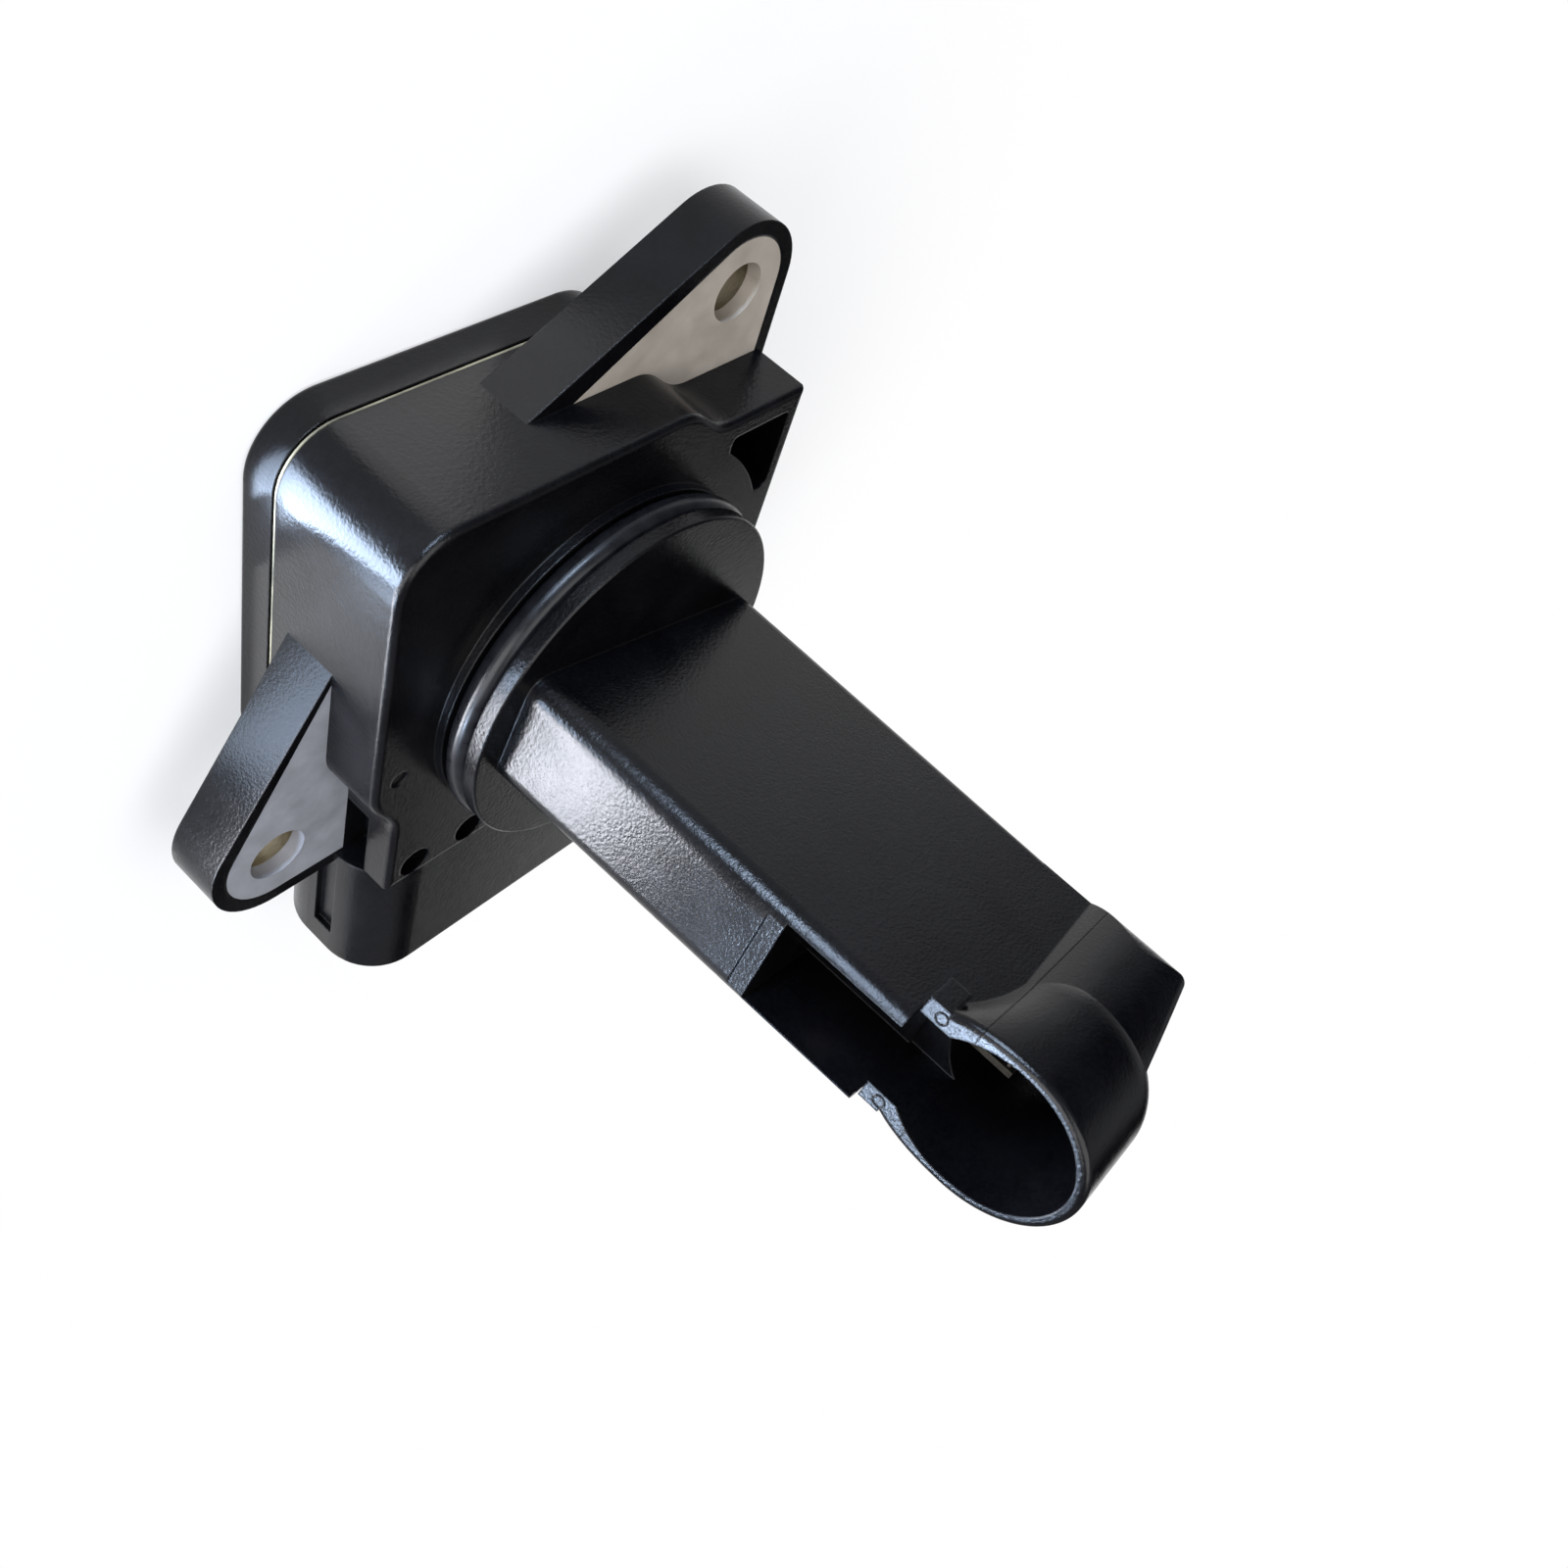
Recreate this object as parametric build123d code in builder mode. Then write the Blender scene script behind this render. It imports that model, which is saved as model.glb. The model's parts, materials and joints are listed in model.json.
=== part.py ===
from build123d import *
from math import cos, radians, sin, tan
import os

# Plug-in mass airflow sensor, in millimetres.
# The origin is on the spigot's axis, level with the ears' mounting faces. +Z runs along the probe
# to its tip, and +Y points away from the connector socket. The lid is at the back, facing -Z.

# Levels along the probe, from the mounting faces
ear_thickness = 4.3
head_height = 4.8
seam_depth = 6.0
seam_bead = 0.4
lid_thickness = 3.1

# Electronics box, as reaches from the spigot's axis
box_left = 18.6
box_right = 10.7
box_top = 18.6
box_bottom = 12.6
box_corner = 4.3
lid_back_corner = 5.2
box_wall = 1.8
tub_floor_level = -0.2
lid_back_round = 0.4
lid_skirt_depth = 2.2
lid_skirt_wall = 1.2
skirt_clearance = 0.1
bead_inset = 0.4
bead_width = 1.0

# Head block in front of the box
head_right = 17.35
head_top = 16.0
head_bottom = 16.0
head_left = 16.4
head_edge_round = 0.5
top_curve_start = 4.0
top_curve_run = 6.0
left_curve_start = 3.6
left_curve_run = 5.6
side_relief_depth = 2.0
side_relief_height = 2.3
side_relief_start = 9.8

# Corner pocket, core holes and ejector dimple in the head's front face
pocket_depth = 4.0
pocket_side_rim = 1.25
pocket_top_rim = 1.5
pocket_width = 5.9
pocket_length = 6.9
pocket_spigot_margin = 2.8
pocket_corner = 0.5
core_hole_radius = 1.3
core_hole_depth = 2.6
core_hole_inset = 1.7
core_hole_first = 2.4
core_hole_pitch = 5.1
dimple_radius = 0.7
dimple_depth = 0.15
dimple_x = -16.6
dimple_y = -2.6

# Ears on one diagonal, each with a screw hole
upper_hole = (12.95, 22.1)
lower_hole = (-22.15, -11.75)
screw_hole_radius = 2.2
ear_tip_radius = 5.2
upper_ear_root = 5.1
lower_ear_root = 4.5

# Steel plates let into the ears, and the sleeves behind them
plate_thickness = 1.2
plate_rim = 1.15
upper_plate_inset = 3.9
lower_plate_inset = 1.0
plate_clearance = 0.05
sleeve_wall = 0.8
sleeve_clearance = 0.03

# Spigot with its seal
spigot_radius = 13.9
back_land = 0.7
groove_width = 2.1
front_land = 1.1
spigot_chamfer = 0.12
seal_cord = 2.0
seal_stand = 0.17
seal_seat_gap = 0.03

# Connector socket, opening to -Y
socket_left = 17.1
socket_right = 10.0
socket_back = 6.9
socket_front = 4.5
socket_reach = 29.2
socket_corner = 4.4
socket_wall = 1.2
socket_depth = 11.6
socket_mouth_round = 0.4
side_groove_width = 1.9
side_groove_start = 17.0
side_groove_length = 9.4
side_groove_rise = 0.55
side_groove_depth = 0.5
key_width = 1.0
key_height = 0.9
key_setback = 1.0
key_side_gap = 1.6
latch_width = 5.0
latch_height = 1.3
latch_length = 4.0
latch_setback = 2.5

# Connector blades
blade_count = 5
blade_pitch = 3.6
blade_width = 1.2
blade_thickness = 0.64
blade_setback = 2.0
blade_pad_reach = 3.0
conductor_clearance = 0.04

# Probe, whose broad faces stand square to the side direction
probe_turn = -12.56
probe_root_upstream = 11.6
probe_root_downstream = 11.45
probe_root_half_thickness = 4.45
probe_tip_upstream = 11.5
probe_tip_downstream = 10.95
probe_tip_half_thickness = 4.15
probe_upstream_round = 1.6
probe_downstream_round = 1.1
probe_length = 33.4

# Window in the upstream edge of the probe
window_end_rim = 2.2
window_length = 9.0
window_wall = 0.6
window_depth = 7.6
window_step = 1.3
window_step_depth = 0.1

# Bypass duct through the tip; rises are measured from the end of the probe
duct_axis_rise = 4.8
duct_face = 9.0
duct_rear = 10.8
duct_crown_half_width = 5.9
duct_crown_height = 7.2
duct_dome_station = -1.1
duct_flare_station = -5.4
duct_rear_half_width = 5.72
duct_rear_height = 6.9
duct_rear_corner = 3.3
duct_rear_rise = 10.3
duct_rear_slope = 12.0
duct_rear_round = 0.9
duct_foot_front_rise = -2.3
duct_foot_flare_rise = -0.1
duct_foot_middle_rise = 1.0
duct_foot_rear_rise = 0.1
duct_joint_rise = 1.5
flank_foot_way = (1, 1.2)
quarter_handle = 0.5523
mouth_half_width = 5.25
mouth_half_height = 6.45
throat_radius = 4.3
throat_station = 1.0
outlet_half_width = 4.2
outlet_half_height = 2.9
duct_overrun = 0.3
duct_root_overlap = 4.0
mouth_rim_round = 0.45
mouth_notch_depth = 5.4
mouth_lug = 0.8
mouth_lug_height = 1.6
mouth_lug_length = 2.6

# Conductors in the probe, with the sensing elements at their ends
lead_width = 0.8
lead_thickness = 0.5
lead_head = 1.4
element_lead_spread = 1.6
element_lead_gap = 1.5
element_lead_proud = 3.4
element_wire_radius = 0.15
element_radius = 0.45
element_length = 2.0
element_inset = 0.5
compensation_radius = 0.35
bead_lead_station = 5.2
bead_lead_spread = 1.0
bead_lead_reach = 3.8
bead_radius = 1.3

# Circuit in the tub
plate_margin = 0.6
plate_bottom = 3.6
base_thickness = 1.0
base_corner = 1.5
board_margin = 0.6
board_thickness = 0.64
board_corner = 0.4
chip_size = 6.0
chip_height = 1.2
chip_round = 0.2
capacitor_length = 1.6
capacitor_width = 0.8
capacitor_height = 0.8
capacitor_columns = 2
capacitor_rows = 3
resistor_length = 1.0
resistor_width = 0.5
resistor_height = 0.35
resistor_columns = 3
resistor_rows = 4
part_pitch = 2.2
part_row_offset = 7.4
ribbon_width = 0.3
ribbon_thickness = 0.1
ribbon_foot = 0.4
ribbon_loop = 1.9
probe_ribbon_loop = 0.7
pad_inset = 0.6
pad_row_pitch = 1.2

# Sizes that follow from the ones above
box_width = box_left + box_right
box_length = box_top + box_bottom
box_centre = ((box_right - box_left) / 2, (box_top - box_bottom) / 2)
tub_back_level = -seam_depth + seam_bead / 2
lid_front_level = -seam_depth - seam_bead / 2
lid_back_level = -seam_depth - lid_thickness
spigot_height = back_land + groove_width + front_land
spigot_front_level = head_height + spigot_height
groove_level = head_height + back_land
groove_radius = spigot_radius + seal_stand - seal_cord
socket_centre_x = (socket_right - socket_left) / 2
socket_centre_z = (socket_front - socket_back) / 2
socket_width = socket_right + socket_left
socket_height = socket_front + socket_back
socket_floor_y = -socket_reach + socket_depth
tub_bottom_y = -box_bottom + box_wall
front_land_level = groove_level + groove_width
probe_tip_level = spigot_front_level + probe_length
window_top_level = probe_tip_level - window_end_rim
window_level = window_top_level - window_length
duct_axis_level = probe_tip_level + duct_axis_rise
duct_rear_top = probe_tip_level + duct_rear_rise
duct_foot_front = probe_tip_level + duct_foot_front_rise
duct_foot_flare = probe_tip_level + duct_foot_flare_rise
duct_foot_middle = probe_tip_level + duct_foot_middle_rise
duct_foot_rear = probe_tip_level + duct_foot_rear_rise
duct_joint_level = probe_tip_level + duct_joint_rise
tip_level = duct_axis_level + duct_crown_height
duct_base_level = probe_tip_level - duct_root_overlap
throat_floor_level = duct_axis_level - throat_radius
lead_head_level = tub_floor_level - lead_head
element_lead_level = throat_floor_level + element_lead_proud
base_back_level = tub_floor_level - base_thickness
board_back_level = base_back_level - board_thickness
board_centre = (box_centre[0], (box_top - box_wall - plate_margin + plate_bottom) / 2)
blade_pad_level = socket_centre_z - blade_thickness / 2

# Directions of the probe: the air's way through the duct, and across it
flow_way = Vector(cos(radians(probe_turn)), sin(radians(probe_turn)), 0)
side_way = Vector(-sin(radians(probe_turn)), cos(radians(probe_turn)), 0)


def probe_level(level):
    """Plane square to the probe at one level, with x along the air's way."""
    return Plane(origin=(0, 0, level), x_dir=flow_way, z_dir=(0, 0, 1))


def duct_station(station):
    """Plane square to the duct at one station, with x across the probe and y along +Z."""
    return Plane(origin=flow_way * station, x_dir=side_way, z_dir=flow_way)


probe_side = Plane(origin=(0, 0, 0), x_dir=flow_way, z_dir=side_way * -1)


def probe_section(level, upstream, downstream, half_thickness):
    """Section of the probe, with its upstream edges rounded more than its downstream ones."""
    with BuildSketch(probe_level(level)) as outline:
        with BuildLine():
            Polyline(
                (-upstream, -half_thickness),
                (downstream, -half_thickness),
                (downstream, half_thickness),
                (-upstream, half_thickness),
                close=True,
            )
        make_face()
        fillet(outline.vertices().sort_by(Axis.X)[:2], probe_upstream_round)
        fillet(outline.vertices().sort_by(Axis.X)[-2:], probe_downstream_round)
    return outline.sketch


def box_outline(inset=0.0):
    """Rounded outline of the electronics box, pulled in by an inset."""
    with Locations(box_centre):
        RectangleRounded(box_width - 2 * inset, box_length - 2 * inset, box_corner - inset)


def head_outline():
    """Front outline of the head, with an S-shaped step in its top and left walls."""
    with BuildSketch() as outline:
        with BuildLine():
            Line((-box_left, -left_curve_start), (-box_left, box_top))
            Line((-box_left, box_top), (top_curve_start, box_top))
            Spline(
                (top_curve_start, box_top),
                (top_curve_start + top_curve_run, head_top),
                tangents=((1, 0), (1, 0)),
            )
            Polyline(
                (top_curve_start + top_curve_run, head_top),
                (head_right, head_top),
                (head_right, -head_bottom),
                (-head_left, -head_bottom),
                (-head_left, -left_curve_start - left_curve_run),
            )
            Spline(
                (-head_left, -left_curve_start - left_curve_run),
                (-box_left, -left_curve_start),
                tangents=((0, 1), (0, 1)),
            )
        make_face()
        fillet(outline.vertices().group_by(Axis.X)[0].sort_by(Axis.Y)[-1], box_corner)
    return outline.sketch


def upper_ear_outline(inset=0.0, root_inset=0.0):
    """Upper ear: the hull of its round tip and of its root on the head."""
    with BuildSketch() as outline:
        with BuildLine():
            Polyline(
                (-upper_ear_root + root_inset, box_top),
                (upper_hole[0], 0),
                (upper_hole[0] + ear_tip_radius - inset, head_top - box_wall),
                close=True,
            )
        make_face()
        with Locations(upper_hole):
            Circle(ear_tip_radius - inset)
        make_hull()
    return outline.sketch


def lower_ear_outline(inset=0.0, root_inset=0.0):
    """Lower ear, the like of the upper one across the other diagonal."""
    with BuildSketch() as outline:
        with BuildLine():
            Polyline(
                (-box_left, lower_ear_root - root_inset),
                (0, lower_hole[1]),
                (-head_left + box_wall, lower_hole[1] - ear_tip_radius + inset),
                close=True,
            )
        make_face()
        with Locations(lower_hole):
            Circle(ear_tip_radius - inset)
        make_hull()
    return outline.sketch


def plate_outline(ear_outline, root_inset, hole):
    """Outline of an ear plate: the ear less its rim, up to the head's walls."""
    with BuildSketch() as outline:
        add(ear_outline(inset=plate_rim, root_inset=root_inset))
        add(head_outline(), mode=Mode.SUBTRACT)
        with Locations(hole):
            Circle(screw_hole_radius, mode=Mode.SUBTRACT)
    return outline.sketch


def corner_pocket_outline():
    """Pocket in the head's corner, bounded inside by an arc about the spigot."""
    with BuildSketch() as outline:
        with Locations((head_right - pocket_side_rim, head_top - pocket_top_rim)):
            Rectangle(pocket_width, pocket_length, align=(Align.MAX, Align.MAX))
        Circle(spigot_radius + pocket_spigot_margin, mode=Mode.SUBTRACT)
        fillet(outline.vertices(), pocket_corner)
    return outline.sketch


def crown_quarter(half_width, crown_height):
    """Quarter of the elliptical crown, from one flank to the top of the arch."""
    Bezier(
        (half_width, duct_axis_level),
        (half_width, duct_axis_level + quarter_handle * crown_height),
        (quarter_handle * half_width, duct_axis_level + crown_height),
        (0, duct_axis_level + crown_height),
    )


def duct_section(station, half_width, crown_height, foot_level):
    """Outer section of the tip: an arched crown on flanks that close in to the probe's faces."""
    foot = probe_tip_half_thickness
    with BuildSketch(duct_station(station)) as outline:
        with BuildLine():
            Polyline(
                (-foot, foot_level),
                (-foot, duct_base_level),
                (foot, duct_base_level),
                (foot, foot_level),
            )
            Spline(
                (foot, foot_level),
                (half_width, duct_axis_level),
                tangents=(flank_foot_way, (0, 1)),
            )
            crown_quarter(half_width, crown_height)
            crown_quarter(-half_width, crown_height)
            Spline(
                (-half_width, duct_axis_level),
                (-foot, foot_level),
                tangents=((0, -1), (flank_foot_way[0], -flank_foot_way[1])),
            )
        make_face()
    return outline.sketch


def make_duct_rear():
    """Rear of the tip: lower than the mouth, with a sloping end and rounded rear corners."""
    with BuildPart() as rear:
        sections = [
            duct_section(station, duct_rear_half_width, duct_rear_height, foot_level)
            for station, foot_level in (
                (duct_dome_station, duct_foot_middle),
                (duct_rear, duct_foot_rear),
            )
        ]
        loft(sections)
        with BuildSketch(probe_side):
            with BuildLine():
                Polyline(
                    (duct_dome_station, duct_rear_top),
                    (duct_dome_station, duct_base_level),
                    (duct_rear, duct_base_level),
                    (duct_rear, duct_rear_top - duct_rear * tan(radians(duct_rear_slope))),
                    close=True,
                )
            make_face()
        extrude(amount=2 * duct_rear_half_width, both=True, mode=Mode.INTERSECT)
        with BuildSketch(probe_level(duct_base_level)) as plan:
            with Locations((duct_dome_station, 0)):
                Rectangle(
                    duct_rear - duct_dome_station,
                    2 * duct_rear_half_width,
                    align=(Align.MIN, Align.CENTER),
                )
            rear_corners = plan.vertices().sort_by_distance((duct_rear, 0))[:2]
            fillet(rear_corners, duct_rear_corner)
        extrude(amount=tip_level - duct_base_level, mode=Mode.INTERSECT)
        end_face = rear.faces().sort_by(Axis.Z)[-1]
        fillet(end_face.edges(), duct_rear_round)
    return rear.part


def make_duct_dome():
    """Dome that closes the crown behind the mouth, turned about an upright line."""
    foot = probe_tip_half_thickness
    dome_axis = Axis(flow_way * duct_dome_station, (0, 0, 1))
    with BuildPart() as dome:
        with BuildSketch(duct_station(duct_dome_station)):
            with BuildLine():
                Line((0, tip_level), (0, duct_foot_middle))
                Line((0, duct_foot_middle), (foot, duct_foot_middle))
                Spline(
                    (foot, duct_foot_middle),
                    (duct_crown_half_width, duct_axis_level),
                    tangents=(flank_foot_way, (0, 1)),
                )
                crown_quarter(duct_crown_half_width, duct_crown_height)
            make_face()
        revolve(axis=dome_axis, revolution_arc=-180)
    return dome.part


def make_duct_body():
    """Whole outer body of the tip, before it is parted between the housing and the tip cap."""
    with BuildPart() as body:
        add(make_duct_rear())
        add(make_duct_dome())
        sections = [
            duct_section(station, duct_crown_half_width, duct_crown_height, foot_level)
            for station, foot_level in (
                (-duct_face, duct_foot_front),
                (duct_flare_station, duct_foot_flare),
                (duct_dome_station, duct_foot_middle),
            )
        ]
        loft(sections)
        mouth_face = body.faces().sort_by(Axis(origin=(0, 0, 0), direction=flow_way))[0]
        fillet(mouth_face.edges(), mouth_rim_round)
    return body.part


def make_duct_passage():
    """Bell mouth, round throat and flat outlet of the bypass duct."""
    with BuildPart() as passage:
        with BuildSketch(duct_station(-duct_face - duct_overrun)):
            with Locations((0, duct_axis_level)):
                Ellipse(mouth_half_width, mouth_half_height)
        with BuildSketch(duct_station(throat_station)):
            with Locations((0, duct_axis_level)):
                Circle(throat_radius)
        with BuildSketch(duct_station(duct_rear + duct_overrun)):
            with Locations((0, duct_axis_level)):
                Ellipse(outlet_half_width, outlet_half_height)
        loft()
    return passage.part


def make_housing(duct_body, duct_passage):
    """One moulding: tub, head, ears, spigot, probe and connector socket."""
    with BuildPart() as housing:
        # Head in front of the mounting faces, with its front edge rounded
        with BuildSketch(Plane.XY):
            add(head_outline())
        extrude(amount=head_height)
        fillet(housing.faces().sort_by(Axis.Z)[-1].edges(), head_edge_round)

        # Tub behind them, and the block that carries the socket
        with BuildSketch(Plane.XY.offset(tub_back_level)):
            box_outline()
        extrude(amount=-tub_back_level)
        with BuildSketch(Plane.XY.offset(-ear_thickness)):
            with Locations((-head_left, -head_bottom)):
                Rectangle(head_left + head_right, head_bottom + head_top, align=(Align.MIN, Align.MIN))
        extrude(amount=ear_thickness)
        with BuildSketch(Plane.XY.offset(tub_back_level)):
            with Locations((-head_left, -head_bottom)):
                Rectangle(head_left + socket_right, box_wall + head_bottom, align=(Align.MIN, Align.MIN))
        extrude(amount=-tub_back_level)

        # Ears
        with BuildSketch(Plane.XY.offset(-ear_thickness)):
            add(upper_ear_outline())
            add(lower_ear_outline())
        extrude(amount=ear_thickness)

        # Spigot, with the seal's groove
        with BuildSketch(Plane.XZ):
            with BuildLine():
                Polyline(
                    (0, 0),
                    (spigot_radius, 0),
                    (spigot_radius, groove_level),
                    (groove_radius, groove_level),
                    (groove_radius, front_land_level),
                    (spigot_radius, front_land_level),
                    (spigot_radius, spigot_front_level - spigot_chamfer),
                    (spigot_radius - spigot_chamfer, spigot_front_level),
                    (0, spigot_front_level),
                    close=True,
                )
            make_face()
        revolve(axis=Axis.Z)

        # Probe, which tapers a little to its tip
        loft(
            [
                probe_section(
                    front_land_level,
                    probe_root_upstream,
                    probe_root_downstream,
                    probe_root_half_thickness,
                ),
                probe_section(
                    probe_tip_level,
                    probe_tip_upstream,
                    probe_tip_downstream,
                    probe_tip_half_thickness,
                ),
            ]
        )

        # The probe ends square above the window, and the duct's mouth starts behind that end
        with BuildSketch(probe_level(window_top_level)):
            with Locations((-duct_face, 0)):
                Rectangle(
                    probe_root_upstream,
                    2 * spigot_radius,
                    align=(Align.MAX, Align.CENTER),
                )
        extrude(amount=probe_length, mode=Mode.SUBTRACT)
        add(split(duct_body, bisect_by=Plane.XY.offset(duct_joint_level), keep=Keep.BOTTOM, mode=Mode.PRIVATE))

        # Lugs at the feet of the mouth's rim
        with BuildSketch(duct_station(-duct_face)):
            with Locations((0, window_top_level)):
                with GridLocations(2 * probe_tip_half_thickness + mouth_lug, mouth_lug, 2, 1):
                    Rectangle(mouth_lug, mouth_lug_height, align=(Align.CENTER, Align.MIN))
        extrude(amount=mouth_lug_length)

        # Connector socket with a rounded shell, open to -Y
        with BuildSketch(Plane.XZ.offset(head_bottom)):
            with Locations((socket_centre_x, socket_centre_z)):
                RectangleRounded(socket_width, socket_height, socket_corner)
        extrude(amount=socket_reach - head_bottom)
        fillet(housing.faces().sort_by(Axis.Y)[0].edges(), socket_mouth_round)
        with BuildSketch(Plane.XZ.offset(socket_reach)):
            with Locations((socket_centre_x, socket_centre_z)):
                RectangleRounded(
                    socket_width - 2 * socket_wall,
                    socket_height - 2 * socket_wall,
                    socket_corner - socket_wall,
                )
        extrude(amount=-socket_depth, mode=Mode.SUBTRACT)
        with BuildSketch(Plane.YZ.offset(-socket_left)):
            with Locations((-side_groove_start, socket_centre_z + side_groove_rise)):
                Rectangle(side_groove_length, side_groove_width, align=(Align.MAX, Align.CENTER))
        extrude(amount=side_groove_depth, mode=Mode.SUBTRACT)

        # Keys that let the plug in only one way round
        with BuildSketch(Plane.XZ.offset(-socket_floor_y)):
            with Locations((socket_centre_x, socket_front - socket_wall)):
                key_spacing = socket_width - 2 * (socket_corner + key_side_gap)
                with GridLocations(key_spacing, key_spacing, 2, 1):
                    Rectangle(key_width, key_height, align=(Align.CENTER, Align.MAX))
        extrude(amount=socket_depth - key_setback)

        # Catch for the plug, on the shell's back
        with BuildSketch(Plane.YZ.offset(socket_centre_x)):
            with BuildLine():
                Polyline(
                    (-socket_reach + latch_setback, -socket_back),
                    (-socket_reach + latch_setback + latch_length, -socket_back - latch_height),
                    (-socket_reach + latch_setback + latch_length, -socket_back),
                    close=True,
                )
            make_face()
        extrude(amount=latch_width / 2, both=True)

        # Tub for the circuit
        with BuildSketch(Plane.XY.offset(tub_back_level)):
            box_outline(box_wall)
        extrude(amount=tub_floor_level - tub_back_level, mode=Mode.SUBTRACT)

        # Relief behind the head's lower left edge
        with BuildSketch(Plane.XY):
            with Locations((-head_left, -side_relief_start)):
                Rectangle(
                    side_relief_depth,
                    head_bottom - side_relief_start,
                    align=(Align.MIN, Align.MAX),
                )
        extrude(amount=side_relief_height, mode=Mode.SUBTRACT)

        # Seats of the ear plates, and the sleeves' holes
        with BuildSketch(Plane.XY):
            add(upper_ear_outline(plate_rim - plate_clearance, upper_plate_inset - plate_clearance))
            add(lower_ear_outline(plate_rim - plate_clearance, lower_plate_inset - plate_clearance))
            add(head_outline(), mode=Mode.SUBTRACT)
        extrude(amount=-plate_thickness, mode=Mode.SUBTRACT)
        with BuildSketch(Plane.XY.offset(-ear_thickness)):
            with Locations(upper_hole, lower_hole):
                Circle(screw_hole_radius + sleeve_wall + sleeve_clearance)
        extrude(amount=ear_thickness, mode=Mode.SUBTRACT)

        # Corner pocket, core holes and dimple in the front face
        with BuildSketch(Plane.XY.offset(head_height)):
            add(corner_pocket_outline())
        extrude(amount=-pocket_depth, mode=Mode.SUBTRACT)
        with BuildSketch(Plane.XY.offset(head_height)):
            with Locations((-head_left + core_hole_first, -head_bottom + core_hole_inset)):
                Circle(core_hole_radius)
            with Locations((-head_left + core_hole_first + core_hole_pitch, -head_bottom + core_hole_inset)):
                Circle(core_hole_radius)
        extrude(amount=-core_hole_depth, mode=Mode.SUBTRACT)
        with BuildSketch(Plane.XY.offset(head_height)):
            with Locations((dimple_x, dimple_y)):
                Circle(dimple_radius)
        extrude(amount=-dimple_depth, mode=Mode.SUBTRACT)

        # Duct passage, and the window below it with a shallow step around its root side
        add(duct_passage, mode=Mode.SUBTRACT)
        window_half_width = probe_tip_half_thickness - window_wall
        with BuildSketch(probe_level(window_level)):
            with Locations((-probe_root_upstream, 0)):
                Rectangle(
                    probe_root_upstream - probe_tip_upstream + window_depth,
                    2 * window_half_width,
                    align=(Align.MIN, Align.CENTER),
                )
        extrude(amount=window_length, mode=Mode.SUBTRACT)
        with BuildSketch(probe_level(window_top_level)):
            with Locations((-probe_root_upstream, 0)):
                Rectangle(
                    probe_root_upstream - duct_face + mouth_notch_depth,
                    2 * window_half_width,
                    align=(Align.MIN, Align.CENTER),
                )
        extrude(amount=duct_joint_level - window_top_level, mode=Mode.SUBTRACT)
        with BuildSketch(probe_level(window_level - window_step)):
            with Locations((-probe_root_upstream, 0)):
                Rectangle(
                    probe_root_upstream - probe_tip_upstream + window_step_depth,
                    2 * window_half_width,
                    align=(Align.MIN, Align.CENTER),
                )
        extrude(amount=window_step, mode=Mode.SUBTRACT)

        # Slots for the conductors
        with BuildSketch(probe_level(tub_floor_level)):
            element_leads(conductor_clearance)
        extrude(amount=duct_axis_level - tub_floor_level, mode=Mode.SUBTRACT)
        with BuildSketch(probe_level(tub_floor_level)):
            bead_lead_pair(conductor_clearance)
        extrude(amount=window_level - tub_floor_level, mode=Mode.SUBTRACT)
        with BuildSketch(Plane.XZ.offset(-tub_bottom_y)):
            blades(conductor_clearance)
        extrude(amount=-tub_bottom_y - socket_floor_y + socket_wall, mode=Mode.SUBTRACT)
    return housing.part


def element_leads(clearance=0.0):
    """Sections of the four conductors for the sensing elements."""
    with GridLocations(2 * element_lead_gap, 2 * element_lead_spread, 2, 2):
        Rectangle(lead_width + 2 * clearance, lead_thickness + 2 * clearance)


def bead_lead_pair(clearance=0.0):
    """Sections of the two conductors that carry the air temperature bead."""
    with Locations((-bead_lead_station, 0)):
        with GridLocations(lead_width, 2 * bead_lead_spread, 1, 2):
            Rectangle(lead_width + 2 * clearance, lead_thickness + 2 * clearance)


def blades(clearance=0.0):
    """Sections of the connector blades, in one row across the socket."""
    with Locations((socket_centre_x, socket_centre_z)):
        with GridLocations(blade_pitch, blade_pitch, blade_count, 1):
            Rectangle(blade_width + 2 * clearance, blade_thickness + 2 * clearance)


def make_duct_tip(duct_body, duct_passage):
    """Tip cap: the part of the duct beyond the joint."""
    with BuildPart() as tip:
        add(duct_body)
        split(bisect_by=Plane.XY.offset(duct_joint_level), keep=Keep.TOP)
        add(duct_passage, mode=Mode.SUBTRACT)
    return tip.part


def make_lid():
    """Back cover with a rounded back edge and a skirt that fits inside the tub."""
    with BuildPart() as lid:
        with BuildSketch(Plane.XY.offset(lid_back_level)):
            with Locations(box_centre):
                RectangleRounded(box_width, box_length, lid_back_corner)
        with BuildSketch(Plane.XY.offset(lid_front_level)):
            box_outline()
        loft()
        fillet(lid.faces().sort_by(Axis.Z)[0].edges(), lid_back_round)
        with BuildSketch(Plane.XY.offset(lid_front_level)):
            box_outline(box_wall + skirt_clearance)
            with Locations(box_centre):
                inset = box_wall + skirt_clearance + lid_skirt_wall
                Rectangle(box_width - 2 * inset, box_length - 2 * inset, mode=Mode.SUBTRACT)
        extrude(amount=lid_skirt_depth)
    return lid.part


def make_lid_sealant():
    """Bonding bead around the seam between lid and tub."""
    with BuildPart() as bead:
        with BuildSketch(Plane.XY.offset(lid_front_level)):
            box_outline(bead_inset)
            with Locations(box_centre):
                inset = bead_inset + bead_width
                RectangleRounded(
                    box_width - 2 * inset,
                    box_length - 2 * inset,
                    box_corner - inset,
                    mode=Mode.SUBTRACT,
                )
        extrude(amount=seam_bead)
    return bead.part


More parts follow.
